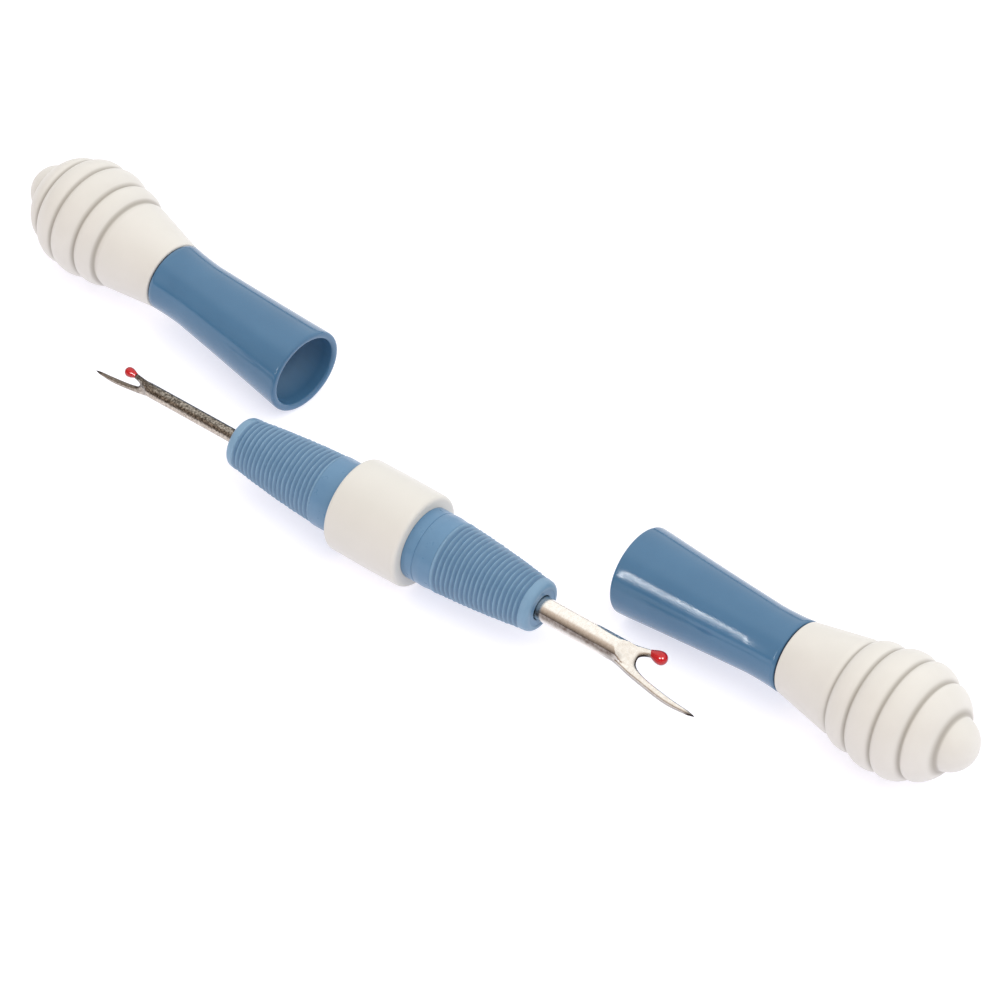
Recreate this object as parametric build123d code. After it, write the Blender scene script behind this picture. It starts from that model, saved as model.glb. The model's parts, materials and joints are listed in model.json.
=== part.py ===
from build123d import *
from math import atan2, cos, radians, sin, sqrt
import os

# Double-ended seam ripper with two pull-off caps that double as thread erasers.
# Millimetres, +Z up. The origin is on the handle's axis, at the middle of the collar.
# The handle lies along X: the small fork points to -X, the large fork to +X.
# Both caps are off, on the +Y side of the handle, and everything rests on one flat surface.

# Handle cores: hard plastic, one per end, joined by a spigot under the collar
NECK_R = 6.65                # land that a cap slides onto
NECK_LENGTH_SMALL = 4.8
NECK_LENGTH_LARGE = 6.1
SEAT_STEP = 2.3              # the large neck is waisted past this length of plain land
WAIST_DEPTH = 0.22
UNDER_COLLAR_R = NECK_R - 0.45
SPIGOT_R = 4.2
SPIGOT_LENGTH = 5.0
SPIGOT_FIT = 0.03            # radial clearance of the glued spigot
SPIGOT_END_GAP = 0.3
CORE_R = 3.5                 # the stem under the soft grip
NOSE_RECESS = 0.8            # how far the stem stops short of the grip's nose

# Collar: the pale sleeve that covers the joint of the two handle cores
COLLAR_R = NECK_R + 2.1
COLLAR_LENGTH = 15.5
COLLAR_EDGE = 1.5            # rounding of both rims

# Grips: soft ribbed sleeves moulded over the stems
NOSE_X = 33.0                # distance of the grip's nose from the origin
GRIP_R = NECK_R - 0.05       # over the ribs at the neck end
GRIP_MIDDLE_R = 5.9
GRIP_NOSE_R = 4.75
NOSE_ROUND = 1.0
RIB_COUNT = 18
RIB_DEPTH = 0.3
RIB_START_GAP = 0.25         # plain strip between the neck and the first rib
SMOOTH_NOSE = 2.6            # plain band between the last rib and the nose

# Steel forks: a round shank, ground flat at the end and split into a point and a blunt prong
SHANK_R_LARGE = 2.17
BLADE_OUT_LARGE = 34.4       # from the grip's nose to the point
FORK_SIZE_LARGE = 1.0        # across; the small fork is the same shape, to its own two scales
FORK_LENGTH_LARGE = 1.0
PLATE_LARGE = 1.3
SHANK_R_SMALL = 1.27
BLADE_OUT_SMALL = 34.0
FORK_SIZE_SMALL = 0.68
FORK_LENGTH_SMALL = 0.72
PLATE_SMALL = 0.9
TANG_LENGTH = 17.0           # how much of the shank is moulded into the core
TANG_FLAT = 0.35             # depth of the flats that keep the tang from turning
FORK_TURN_LARGE = 12         # degrees about the handle's axis; 0 puts the ball on the +Y side
FORK_TURN_SMALL = 90         # the small fork stands on edge, with its ball up

# Balls on the blunt prongs
BALL_R_LARGE = 1.2
BALL_R_SMALL = 0.9

# Caps: a flared shell, a soft ringed head, and a hard liner that joins them
MOUTH_FIT = 0.08             # radial clearance between the neck and the mouth's bore
MOUTH_R = NECK_R + MOUTH_FIT + 1.47
MOUTH_EDGE = 0.6
MOUTH_BORE_LENGTH = 6.5
SHELL_LENGTH = 33.8
SHELL_BORE_R = 5.25          # bore from the waist to the joint
WAIST_R = SHELL_BORE_R + 1.13
WAIST_FROM_MOUTH = 27.0
FLARE_SAG = 0.13             # how far the flare's outline dips below a straight cone
JOINT_R = WAIST_R + 0.27
JOINT_GAP = 0.35             # the dark line between shell and head
LINER_WALL = 0.8
LINER_SPIGOT_LENGTH = 6.0
LINER_R = 5.7
LINER_DEPTH = 30.0           # from the joint to the liner's closed end
LINER_END_ROUND = 0.7        # rounding of the closed end, as a share of its radius
FLANGE_R = JOINT_R - 0.4
HEAD_LENGTH = 36.0
HEAD_CONE_LENGTH = 12.0
HEAD_RING_ENDS = (16.5, 22.0, 27.0, 31.6)        # distance of each groove from the joint
HEAD_RING_CRESTS = (9.9, 10.8, 10.45, 8.2)       # radius over each ring
HEAD_GROOVES = (8.6, 9.3, 9.9, 8.5, 5.2)         # radius in each groove, the cone's end first

# Places of the two loose caps: how far each is off its closed station along the handle,
# the gap that it keeps to the collar when it slides past, and the turn of its head
CAP_SMALL_OFF = 28.05
CAP_SMALL_GAP = 3.85
CAP_SMALL_YAW = 173.9
CAP_LARGE_OFF = 32.35
CAP_LARGE_GAP = 0.75
CAP_LARGE_YAW = -2.7

FLOOR_Z = -COLLAR_R
NECK_X = COLLAR_LENGTH / 2   # where each neck leaves the collar
TIP_X_LARGE = NOSE_X + BLADE_OUT_LARGE
TIP_X_SMALL = NOSE_X + BLADE_OUT_SMALL


def turned(*edges):
    """A solid turned about the X axis from a closed outline in XY, with Y as the radius."""
    return revolve(make_face(Wire(edges)), Axis.X, 360)


def chain(start, *steps):
    """Edges from start through steps; a step of two points is an arc through the first."""
    edges = []
    at = start
    for step in steps:
        if isinstance(step[0], tuple):
            middle, end = step
            edges.append(ThreePointArc(at, middle, end))
        else:
            end = step
            edges.append(Line(at, end))
        at = end
    if at != start:
        edges.append(Line(at, start))
    return edges


def mirrored_to_small_end(part):
    return mirror(part, about=Plane.YZ)


def collar():
    half = COLLAR_LENGTH / 2
    edge = COLLAR_EDGE
    near = edge * (1 - sqrt(0.5))
    return turned(*chain(
        (-half, UNDER_COLLAR_R),
        (-half, COLLAR_R - edge),
        ((-half + near, COLLAR_R - near), (-half + edge, COLLAR_R)),
        (half - edge, COLLAR_R),
        ((half - near, COLLAR_R - near), (half, COLLAR_R - edge)),
        (half, UNDER_COLLAR_R),
    ))


def grip_start(neck_length):
    return NECK_X + neck_length


def shank_hole(shank_r, flat, tip_x):
    """The space that the tang fills in a core, with its two flats."""
    hole = Cylinder(shank_r, tip_x, rotation=(0, 90, 0), align=(Align.CENTER, Align.CENTER, Align.MIN))
    hole = Pos(NOSE_X - NOSE_RECESS - TANG_LENGTH, 0, 0) * hole
    for side in (-1, 1):
        cheek = Pos(NOSE_X - NOSE_RECESS - TANG_LENGTH / 2, 0, side * (2 * shank_r - flat)) * Box(
            TANG_LENGTH / 2, 3 * shank_r, 2 * shank_r)
        hole -= cheek
    return hole


def core_large():
    start = grip_start(NECK_LENGTH_LARGE)
    step = NECK_X + SEAT_STEP
    middle = (step + start) / 2
    body = turned(*chain(
        (0, SPIGOT_R + SPIGOT_FIT),
        (0, UNDER_COLLAR_R),
        (NECK_X, UNDER_COLLAR_R),
        (NECK_X, NECK_R),
        (step, NECK_R),
        (step, NECK_R - WAIST_DEPTH / 3),
        ((middle, NECK_R - WAIST_DEPTH), (start, NECK_R - WAIST_DEPTH / 3)),
        (start, CORE_R),
        (NOSE_X - NOSE_RECESS, CORE_R),
        (NOSE_X - NOSE_RECESS, 0),
        (SPIGOT_LENGTH + SPIGOT_END_GAP, 0),
        (SPIGOT_LENGTH + SPIGOT_END_GAP, SPIGOT_R + SPIGOT_FIT),
    ))
    turn = Rot(FORK_TURN_LARGE, 0, 0)
    return body - turn * shank_hole(SHANK_R_LARGE, TANG_FLAT, TIP_X_LARGE)


def core_small():
    start = grip_start(NECK_LENGTH_SMALL)
    body = turned(*chain(
        (-SPIGOT_LENGTH, 0),
        (-SPIGOT_LENGTH, SPIGOT_R),
        (0, SPIGOT_R),
        (0, UNDER_COLLAR_R),
        (NECK_X, UNDER_COLLAR_R),
        (NECK_X, NECK_R),
        (start, NECK_R),
        (start, CORE_R),
        (NOSE_X - NOSE_RECESS, CORE_R),
        (NOSE_X - NOSE_RECESS, 0),
    ))
    hole = Rot(FORK_TURN_SMALL, 0, 0) * shank_hole(SHANK_R_SMALL, TANG_FLAT * FORK_SIZE_SMALL, TIP_X_SMALL)
    return mirrored_to_small_end(body - hole)


def grip_radius(x, start):
    """Radius over the ribs: a parabola through the three named radii."""
    end = NOSE_X - NOSE_ROUND
    t = (x - start) / (end - start)
    bend = 2 * (GRIP_R + GRIP_NOSE_R - 2 * GRIP_MIDDLE_R)
    return GRIP_R + t * (GRIP_NOSE_R - GRIP_R - bend) + t * t * bend


def grip(neck_length):
    """A soft sleeve on the stem: round ribs one after another, then a smooth rounded nose."""
    start = grip_start(neck_length)
    rib_from = start + RIB_START_GAP
    rib_to = NOSE_X - SMOOTH_NOSE
    pitch = (rib_to - rib_from) / RIB_COUNT
    steps = [(rib_from, grip_radius(rib_from, start) - RIB_DEPTH)]
    for i in range(RIB_COUNT):
        crest_x = rib_from + (i + 0.5) * pitch
        valley_x = rib_from + (i + 1) * pitch
        crest = (crest_x, grip_radius(crest_x, start))
        steps.append((crest, (valley_x, grip_radius(valley_x, start) - RIB_DEPTH)))
    shoulder_x = NOSE_X - NOSE_ROUND
    shoulder_r = grip_radius(shoulder_x, start)
    near = NOSE_ROUND * (1 - sqrt(0.5))
    steps += [
        (rib_to + RIB_DEPTH, grip_radius(rib_to + RIB_DEPTH, start)),
        (shoulder_x, shoulder_r),
        ((NOSE_X - near, shoulder_r - near), (NOSE_X, shoulder_r - NOSE_ROUND)),
        (NOSE_X, CORE_R),
    ]
    first = (start, CORE_R)
    return turned(*chain(first, (start, grip_radius(start, start) - RIB_DEPTH), *steps))


def fork(length, size, shank_r, plate, tip_x):
    """Shank along X with the forged fork at its end, flat in XY, its ball side towards +Y."""
    def at(back, across):
        return (tip_x - back * length, across * size)

    gullet = 14.7                # from the point to the bottom of the cutting edge
    outline = make_face(Wire([
        Line(at(21.4, 0), at(21.4, 1.7)),
        Spline(at(21.4, 1.7), at(16.8, 2.3), at(13.9, 2.87), at(11.4, 3.05)),
        Line(at(11.4, 3.05), at(11.4, 2.1)),
        Spline(at(11.4, 2.1), at(13.4, 1.6), at(gullet, 0.45), at(14.1, -1), at(10.3, -2.6), at(5.5, -3.4),
               at(1.5, -3.65)),
        Line(at(1.5, -3.65), at(0, -3.8)),
        Spline(at(0, -3.8), at(2.1, -4.2), at(6.4, -4.28), at(13.4, -3.05), at(18.7, -2.05), at(21.4, -1.7)),
        Line(at(21.4, -1.7), at(21.4, 0)),
    ]))
    flat = extrude(outline, amount=plate / 2, both=True)
    tang_x = NOSE_X - NOSE_RECESS - TANG_LENGTH
    shank_end = tip_x - (gullet + 0.2) * length
    shank = Cylinder(shank_r, shank_end - tang_x, rotation=(0, 90, 0),
                     align=(Align.CENTER, Align.CENTER, Align.MIN))
    shank = Pos(tang_x, 0, 0) * shank
    scoop_r = 5 * size
    for side in (-1, 1):
        grind = Cylinder(scoop_r, 8 * shank_r, rotation=(90, 0, 0))
        shank -= Pos(shank_end, 0, side * (scoop_r + plate / 2)) * grind
    return shank + flat


def tang_flats(shank_r, flat):
    """The two cheeks ground off the tang."""
    tang_x = NOSE_X - NOSE_RECESS - TANG_LENGTH / 2
    cheeks = []
    for side in (-1, 1):
        cheek = Box(TANG_LENGTH / 2, 3 * shank_r, 2 * shank_r)
        cheeks.append(Pos(tang_x, 0, side * (2 * shank_r - flat)) * cheek)
    return cheeks


def blade_large():
    blade = fork(FORK_LENGTH_LARGE, FORK_SIZE_LARGE, SHANK_R_LARGE, PLATE_LARGE, TIP_X_LARGE)
    for cheek in tang_flats(SHANK_R_LARGE, TANG_FLAT):
        blade -= cheek
    return Rot(FORK_TURN_LARGE, 0, 0) * blade


def blade_small():
    blade = fork(FORK_LENGTH_SMALL, FORK_SIZE_SMALL, SHANK_R_SMALL, PLATE_SMALL, TIP_X_SMALL)
    for cheek in tang_flats(SHANK_R_SMALL, TANG_FLAT * FORK_SIZE_SMALL):
        blade -= cheek
    return mirrored_to_small_end(Rot(FORK_TURN_SMALL, 0, 0) * blade)


def ball(radius, length, size, tip_x):
    """A drop-shaped bead round the blunt prong's end: a ball with a short neck down the prong."""
    centre = (tip_x - 11.5 * length, 2.5 * size)
    neck = Pos(centre[0] - radius * 0.9, centre[1], 0) * Rot(0, 90, 0) * Cone(
        radius * 0.62, radius * 0.86, radius * 0.9)
    return Pos(centre[0], centre[1], 0) * Sphere(radius) + neck


def ball_large():
    bead = Rot(FORK_TURN_LARGE, 0, 0) * ball(BALL_R_LARGE, FORK_LENGTH_LARGE, FORK_SIZE_LARGE, TIP_X_LARGE)
    return bead - blade_large()


def ball_small():
    bead = Rot(FORK_TURN_SMALL, 0, 0) * ball(BALL_R_SMALL, FORK_LENGTH_SMALL, FORK_SIZE_SMALL, TIP_X_SMALL)
    return mirrored_to_small_end(bead) - blade_small()


def place_cap(part, at, yaw):
    """Lays a cap on the surface, on its mouth's rim and its largest ring. Its head points along yaw."""
    ring_x = SHELL_LENGTH + JOINT_GAP + (HEAD_RING_ENDS[0] + HEAD_RING_ENDS[1]) / 2
    tilt = atan2(max(HEAD_RING_CRESTS) - MOUTH_R, ring_x - MOUTH_EDGE)
    turn = radians(yaw)
    along = Vector(cos(turn) * cos(tilt), sin(turn) * cos(tilt), sin(tilt))
    across = Vector(0, 0, 1).cross(along)
    height = FLOOR_Z + MOUTH_R * cos(tilt) - MOUTH_EDGE * sin(tilt)
    plane = Plane(origin=(at[0], at[1], height), x_dir=along, z_dir=along.cross(across))
    return plane.location * part


def shell():
    """Local frame: the mouth's centre at the origin, the head towards +X."""
    bore = NECK_R + MOUTH_FIT
    edge = MOUTH_EDGE
    near = edge * (1 - sqrt(0.5))
    outer_flare = (WAIST_FROM_MOUTH / 2, (MOUTH_R + WAIST_R) / 2 - FLARE_SAG)
    lip_r = bore + edge
    return turned(*chain(
        (0, lip_r),
        (0, MOUTH_R - edge),
        ((near, MOUTH_R - near), (edge, MOUTH_R)),
        (outer_flare, (WAIST_FROM_MOUTH, WAIST_R)),
        ((SHELL_LENGTH - 3.5, WAIST_R + 0.07), (SHELL_LENGTH, JOINT_R)),
        (SHELL_LENGTH, SHELL_BORE_R),
        (WAIST_FROM_MOUTH, SHELL_BORE_R),
        (MOUTH_BORE_LENGTH, bore),
        (edge, bore),
        ((near, bore + near), (0, lip_r)),
    ))


def liner():
    """Local frame as for the shell: spigot in the shell, flange at the joint, closed cup in the head."""
    joint = SHELL_LENGTH
    end = joint + LINER_DEPTH
    inner = SHELL_BORE_R - LINER_WALL
    wide = LINER_R - LINER_WALL
    round_r = LINER_R * LINER_END_ROUND
    near = round_r * (1 - sqrt(0.5))
    return turned(*chain(
        (joint - LINER_SPIGOT_LENGTH, inner),
        (joint - LINER_SPIGOT_LENGTH, SHELL_BORE_R),
        (joint, SHELL_BORE_R),
        (joint, FLANGE_R),
        (joint + JOINT_GAP, FLANGE_R),
        (joint + JOINT_GAP, LINER_R),
        (end - round_r, LINER_R),
        ((end - near, LINER_R - near), (end, LINER_R - round_r)),
        (end, 0),
        (end - LINER_WALL, 0),
        (end - LINER_WALL, LINER_R - round_r),
        (end - round_r, wide),
        (joint + JOINT_GAP, wide),
        (joint, inner),
    ))


def head():
    """Local frame as for the shell: a soft cone, four rings and a domed tip, hollow for the liner."""
    base = SHELL_LENGTH + JOINT_GAP
    end = SHELL_LENGTH + LINER_DEPTH
    round_r = LINER_R * LINER_END_ROUND
    near = round_r * (1 - sqrt(0.5))
    starts = (HEAD_CONE_LENGTH,) + HEAD_RING_ENDS
    cone_end = (base + HEAD_CONE_LENGTH, HEAD_GROOVES[0])
    steps = [
        (base, JOINT_R),
        ((base + 4.5, 7.6), (base + HEAD_CONE_LENGTH - 1.2, HEAD_GROOVES[0] + 0.35)),
        cone_end,
    ]
    for i, crest in enumerate(HEAD_RING_CRESTS):
        middle = (base + (starts[i] + starts[i + 1]) / 2, crest)
        steps.append((middle, (base + starts[i + 1], HEAD_GROOVES[i + 1])))
    dome = HEAD_LENGTH - HEAD_RING_ENDS[-1]
    groove_r = HEAD_GROOVES[-1]
    crown_r = (groove_r ** 2 + dome ** 2) / (2 * dome)
    crown_x = base + HEAD_LENGTH - crown_r
    half_way = atan2(groove_r, crown_r - dome) / 2
    middle = (crown_x + crown_r * cos(half_way), crown_r * sin(half_way))
    steps += [
        (middle, (base + HEAD_LENGTH, 0)),
        (end, 0),
        (end, LINER_R - round_r),
        ((end - near, LINER_R - near), (end - round_r, LINER_R)),
    ]
    return turned(*chain((base, LINER_R), *steps))


def nodes():
    """Every separate piece of the seam ripper, by name, in its place."""
    pieces = {
        "collar": collar(),
        "core_small": core_small(),
        "core_large": core_large(),
        "grip_small": mirrored_to_small_end(grip(NECK_LENGTH_SMALL)),
        "grip_large": grip(NECK_LENGTH_LARGE),
        "blade_small": blade_small(),
        "blade_large": blade_large(),
        "ball_small": ball_small(),
        "ball_large": ball_large(),
    }
    places = (
        ("small", -(NECK_X + CAP_SMALL_OFF), CAP_SMALL_GAP, CAP_SMALL_YAW),
        ("large", NECK_X + CAP_LARGE_OFF, CAP_LARGE_GAP, CAP_LARGE_YAW),
    )
    for end, x, gap, yaw in places:
        at = (x, COLLAR_R + gap + MOUTH_R)
        pieces[f"cap_shell_{end}"] = place_cap(shell(), at, yaw)
        pieces[f"cap_liner_{end}"] = place_cap(liner(), at, yaw)
        pieces[f"cap_head_{end}"] = place_cap(head(), at, yaw)
    return pieces


if __name__ == "__main__":
    os.makedirs("parts", exist_ok=True)
    for name, piece in nodes().items():
        export_step(piece, f"parts/{name}.step")
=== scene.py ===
import json
import math

import bpy
import bmesh
import numpy as np
from mathutils import Matrix, Vector
from mathutils.geometry import delaunay_2d_cdt


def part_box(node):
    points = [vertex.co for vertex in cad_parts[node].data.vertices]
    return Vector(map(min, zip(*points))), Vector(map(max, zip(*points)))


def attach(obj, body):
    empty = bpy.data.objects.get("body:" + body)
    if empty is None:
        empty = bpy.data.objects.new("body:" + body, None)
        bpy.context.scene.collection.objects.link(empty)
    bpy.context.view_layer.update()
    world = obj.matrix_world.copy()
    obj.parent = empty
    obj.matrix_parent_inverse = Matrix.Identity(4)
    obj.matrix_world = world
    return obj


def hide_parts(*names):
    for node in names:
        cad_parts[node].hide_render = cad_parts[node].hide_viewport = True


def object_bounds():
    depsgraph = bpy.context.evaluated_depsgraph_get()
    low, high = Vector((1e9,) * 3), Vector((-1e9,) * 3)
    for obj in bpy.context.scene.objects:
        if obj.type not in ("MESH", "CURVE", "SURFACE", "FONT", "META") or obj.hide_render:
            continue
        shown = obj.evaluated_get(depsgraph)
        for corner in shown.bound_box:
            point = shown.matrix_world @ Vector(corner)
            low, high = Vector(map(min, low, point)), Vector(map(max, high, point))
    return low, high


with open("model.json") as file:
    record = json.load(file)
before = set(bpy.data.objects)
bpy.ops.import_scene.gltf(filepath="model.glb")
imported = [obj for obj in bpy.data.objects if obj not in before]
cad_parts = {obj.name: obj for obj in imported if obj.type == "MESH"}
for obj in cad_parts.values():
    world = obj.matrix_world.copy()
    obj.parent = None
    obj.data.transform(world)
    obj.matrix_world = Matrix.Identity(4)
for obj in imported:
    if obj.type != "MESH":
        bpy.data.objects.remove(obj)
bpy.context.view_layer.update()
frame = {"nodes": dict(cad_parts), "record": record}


# ---------------------------------------------------------------- handle cores
# The hard blue cores of the handle, one per end. Injection-moulded polypropylene, polished tool:
# glossy, with a faint cloudiness from the melt's flow. Each is moulded round its blade's tang, and
# they join under the collar, so only the two necks and the dark recess round each shank show.

MM = 0.001
NECK_R = 6.65
UNDER_COLLAR_R = 6.2
STEM_R = 3.5
COLLAR_HALF = (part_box("collar")[1].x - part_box("collar")[0].x) / 2 / MM
NOSE_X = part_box("grip_large")[1].x / MM
RECESS = 0.8
SHANK_HOLE_R = {"large": 2.3, "small": 1.38}
HOLE_DEPTH = 1.6
SEAM_STATION = 2.3           # the fine ring on the large neck, from the collar
FINE = 0.12                  # edge rounding of a sharp moulded corner
TURNING_DEPTH = 0.003        # of the marks that turning left on the mould
RUBBED_MM = 2.2              # size of the patches that handling has polished or dulled


def linear(hex_colour):
    """An sRGB hex colour as linear RGBA."""
    parts = [int(hex_colour[i:i + 2], 16) / 255 for i in (1, 3, 5)]
    return [c / 12.92 if c <= 0.04045 else ((c + 0.055) / 1.055) ** 2.4 for c in parts] + [1.0]


def add(tree, kind, inputs=None, **settings):
    """Adds one node. An input is a value, an output to link from, or a node for its first live output."""
    node = tree.nodes.new(kind)
    for key, value in settings.items():
        setattr(node, key, value)
    for key, value in (inputs or {}).items():
        if isinstance(value, bpy.types.Node):
            value = next(output for output in value.outputs if output.enabled)
        if isinstance(value, bpy.types.NodeSocket):
            tree.links.new(value, node.inputs[key])
        else:
            node.inputs[key].default_value = value
    return node


def new_material(name, **constants):
    """A material with its node tree, its Principled shader and the object's own coordinates."""
    material = bpy.data.materials.new(name)
    material.use_nodes = True
    tree = material.node_tree
    shader = tree.nodes["Principled BSDF"]
    for key, value in constants.items():
        shader.inputs[key.replace("_", " ")].default_value = value
    return material, tree, shader, add(tree, "ShaderNodeTexCoord").outputs["Object"]


def moulded_plastic(name, shade, light, roughness, cloud_mm=7.0, peel_mm=0.7, peel_height=0.002, hollow_painted_shading=None,
                    turning_mm=None):
    """Injection-moulded plastic: clouds of two close shades, uneven gloss and a faint orange peel.

    A hollow colour shows where the piece's "hollow" attribute is 1; turning marks of the mould run round the
    piece, across its "station" attribute, about turning_mm apart. The peel is drawn coarser than it is, so
    that it shows."""
    material, tree, shader, place = new_material(name, IOR=1.49)
    clouds = add(tree, "ShaderNodeTexNoise", {"Vector": place, "Scale": 1 / (cloud_mm * MM), "Detail": 4.0})
    colour = add(tree, "ShaderNodeMix", {"Factor": clouds, 6: linear(shade), 7: linear(light)},
                 data_type="RGBA").outputs[2]
    # painted light and shade: darker in grooves and rib valleys, lighter in a shell's bore
    if hollow_painted_shading:
        depth = add(tree, "ShaderNodeAttribute", attribute_name="hollow_painted_shading").outputs["Fac"]
        colour = add(tree, "ShaderNodeMix", {"Factor": depth, 6: colour, 7: linear(hollow_painted_shading)},
                     data_type="RGBA").outputs[2]
    tree.links.new(colour, shader.inputs["Base Color"])
    rubbed = add(tree, "ShaderNodeTexNoise", {"Vector": place, "Scale": 1 / (RUBBED_MM * MM),
                                              "Detail": 6.0, "Roughness": 0.65})
    gloss = add(tree, "ShaderNodeMapRange", {"Value": rubbed, "From Min": 0.3, "From Max": 0.7,
                                             "To Min": roughness - 0.05, "To Max": roughness + 0.07})
    tree.links.new(gloss.outputs["Result"], shader.inputs["Roughness"])
    peel = add(tree, "ShaderNodeTexNoise", {"Vector": place, "Scale": 1 / (peel_mm * MM), "Detail": 2.0})
    bump = add(tree, "ShaderNodeBump", {"Height": peel, "Distance": peel_height * MM})
    if turning_mm:
        station = add(tree, "ShaderNodeAttribute", attribute_name="station").outputs["Fac"]
        marks = add(tree, "ShaderNodeTexNoise", {"W": station, "Scale": 1 / turning_mm, "Detail": 2.0},
                    noise_dimensions="1D")
        bump = add(tree, "ShaderNodeBump", {"Height": marks, "Distance": TURNING_DEPTH * MM, "Normal": bump})
    tree.links.new(bump.outputs["Normal"], shader.inputs["Normal"])
    return material


def soften(corners, steps=6):
    """Points of an outline with its corners rounded: each corner is (station, radius, rounding) in mm."""
    points = []
    count = len(corners)
    for i, (x, r, rounding) in enumerate(corners):
        here = Vector((x, r))
        before = Vector(corners[i - 1][:2]) - here
        after = Vector(corners[(i + 1) % count][:2]) - here
        if rounding <= 0 or r == 0:
            points.append((x, r))
            continue
        half = before.angle(after) / 2
        reach = min(rounding / math.tan(half), 0.49 * before.length, 0.49 * after.length)
        start, end = here + before.normalized() * reach, here + after.normalized() * reach
        for k in range(steps + 1):
            t = k / steps
            points.append(tuple(start * (1 - t) ** 2 + here * 2 * t * (1 - t) + end * t * t))
    return points


def turned(name, outline, matrix, material, around=160, hollow_painted_shading=None):
    """A closed body turned about its own X axis from an outline of (station, radius) in mm."""
    mesh = bmesh.new()
    uv = mesh.loops.layers.uv.new("UVMap")
    depth = mesh.verts.layers.float.new("hollow_painted_shading")
    station = mesh.verts.layers.float.new("station")
    rings = []
    for k, (x, r) in enumerate(outline):
        ring = []
        for j in range(around if r > 1e-6 else 1):
            angle = 2 * math.pi * j / around
            vertex = mesh.verts.new(matrix @ (Vector((x, r * math.cos(angle), r * math.sin(angle))) * MM))
            # each ring's share of the painted light and shade that the material's hollow colour gives
            vertex[depth] = hollow_painted_shading[k] if hollow_painted_shading else 0.0
            vertex[station] = x
            ring.append(vertex)
        rings.append(ring)
    pairs = list(zip(rings, rings[1:]))
    if len(rings[0]) > 1:
        pairs.append((rings[-1], rings[0]))
    for row, (a, b) in enumerate(pairs):
        if len(a) == len(b) == 1:
            continue
        for j in range(around):
            n = (j + 1) % around
            corners = [a[j % len(a)], b[j % len(b)], b[n % len(b)], a[n % len(a)]]
            corners = list(dict.fromkeys(corners))
            face = mesh.faces.new(corners)
            face.smooth = True
            for loop in face.loops:
                side = row if loop.vert in a else row + 1
                turn = j if loop.vert in (a[j % len(a)], b[j % len(b)]) else j + 1
                loop[uv].uv = (turn / around, side / len(pairs))
    bmesh.ops.recalc_face_normals(mesh, faces=mesh.faces)
    data = bpy.data.meshes.new(name)
    mesh.to_mesh(data)
    mesh.free()
    data.set_sharp_from_angle(angle=math.radians(50))
    data.materials.append(material)
    piece = bpy.data.objects.new(name, data)
    bpy.context.scene.collection.objects.link(piece)
    return piece


# the small end is the large end's frame turned half round about Z
ENDS = {"large": Matrix.Identity(4), "small": Matrix.Rotation(math.pi, 4, "Z")}
satin_blue = moulded_plastic("polypropylene_satin_mould_blue", "#567da0", "#6389aa", 0.3, cloud_mm=3.0)

for end, matrix in ENDS.items():
    grip_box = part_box(f"grip_{end}")
    start = min(abs(grip_box[0].x), abs(grip_box[1].x)) / MM
    hole_r = SHANK_HOLE_R[end]
    neck = [(COLLAR_HALF, NECK_R, FINE), (start, NECK_R, FINE)]
    if end == "large":
        ring = COLLAR_HALF + SEAM_STATION
        neck = [
            (COLLAR_HALF, NECK_R, FINE), (ring - 0.08, NECK_R, 0.1), (ring, NECK_R - 0.14, 0.05),
            (ring + 0.12, NECK_R - 0.02, 0.1), (ring + 1.6, NECK_R + 0.04, 2.0),
            (start - 1.0, NECK_R - 0.1, 1.2), (start, NECK_R - 0.12, FINE),
        ]
    corners = [(0, 0, 0), (0, UNDER_COLLAR_R, FINE), (COLLAR_HALF, UNDER_COLLAR_R, FINE)] + neck
    face_x = NOSE_X - 0.05
    corners += [
        (start, STEM_R, FINE), (face_x, STEM_R, 0), (face_x, hole_r, 0.25),
        (face_x - HOLE_DEPTH, hole_r, 0), (face_x - HOLE_DEPTH, 0, 0),
    ]
    core = turned(f"handle_core_{end}", soften(corners), matrix, satin_blue)
    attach(core, "handle")
    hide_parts(f"core_{end}")


# ---------------------------------------------------------------- collar
# The pale sleeve over the joint of the two cores. ABS, moulded with a fine satin texture and
# pressed over the cores: warm ivory, soft sheen, rounded rims.

COLLAR_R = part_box("collar")[1].z / MM
COLLAR_EDGE = 1.9
CROWN = 0.07                 # the wall is very slightly barrelled

ivory_abs = moulded_plastic("abs_satin_moulded_ivory", "#cfcec9", "#d7d5d1", 0.36,
                            cloud_mm=11.0, peel_mm=0.35, peel_height=0.006)
collar = turned("handle_collar", soften([
    (-COLLAR_HALF, UNDER_COLLAR_R, 0), (-COLLAR_HALF, NECK_R + 0.03, FINE),
    (-COLLAR_HALF, COLLAR_R - CROWN, COLLAR_EDGE), (0, COLLAR_R, 30),
    (COLLAR_HALF, COLLAR_R - CROWN, COLLAR_EDGE), (COLLAR_HALF, NECK_R + 0.03, FINE),
    (COLLAR_HALF, UNDER_COLLAR_R, 0),
], steps=10), Matrix.Identity(4), ivory_abs)
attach(collar, "handle")
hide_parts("collar")


# ---------------------------------------------------------------- grips
# The ribbed sleeves that the fingers hold. Soft thermoplastic elastomer moulded over each stem:
# satin, a touch greyer than the hard blue, with fine ribs that wander a little round the grip,
# and painted shade in the valleys between them.

RIBS = 18
RIB_DEPTH = 0.4
BEFORE_RIBS = 0.35           # plain stretches at the neck and at the nose
AFTER_RIBS = 1.7
WANDER = 0.5                 # how far a rib strays along the grip, and over what distance it does
WANDER_MM = 5
SLEEVE_R = (NECK_R - 0.05, 5.9, 4.75)    # at the neck, halfway, and at the shoulder of the nose
NOSE_ROUND = 1.0
PLAIN_SHADE = 0.42           # how far the plain stretches are from the crests' colour to the hollows'


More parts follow.
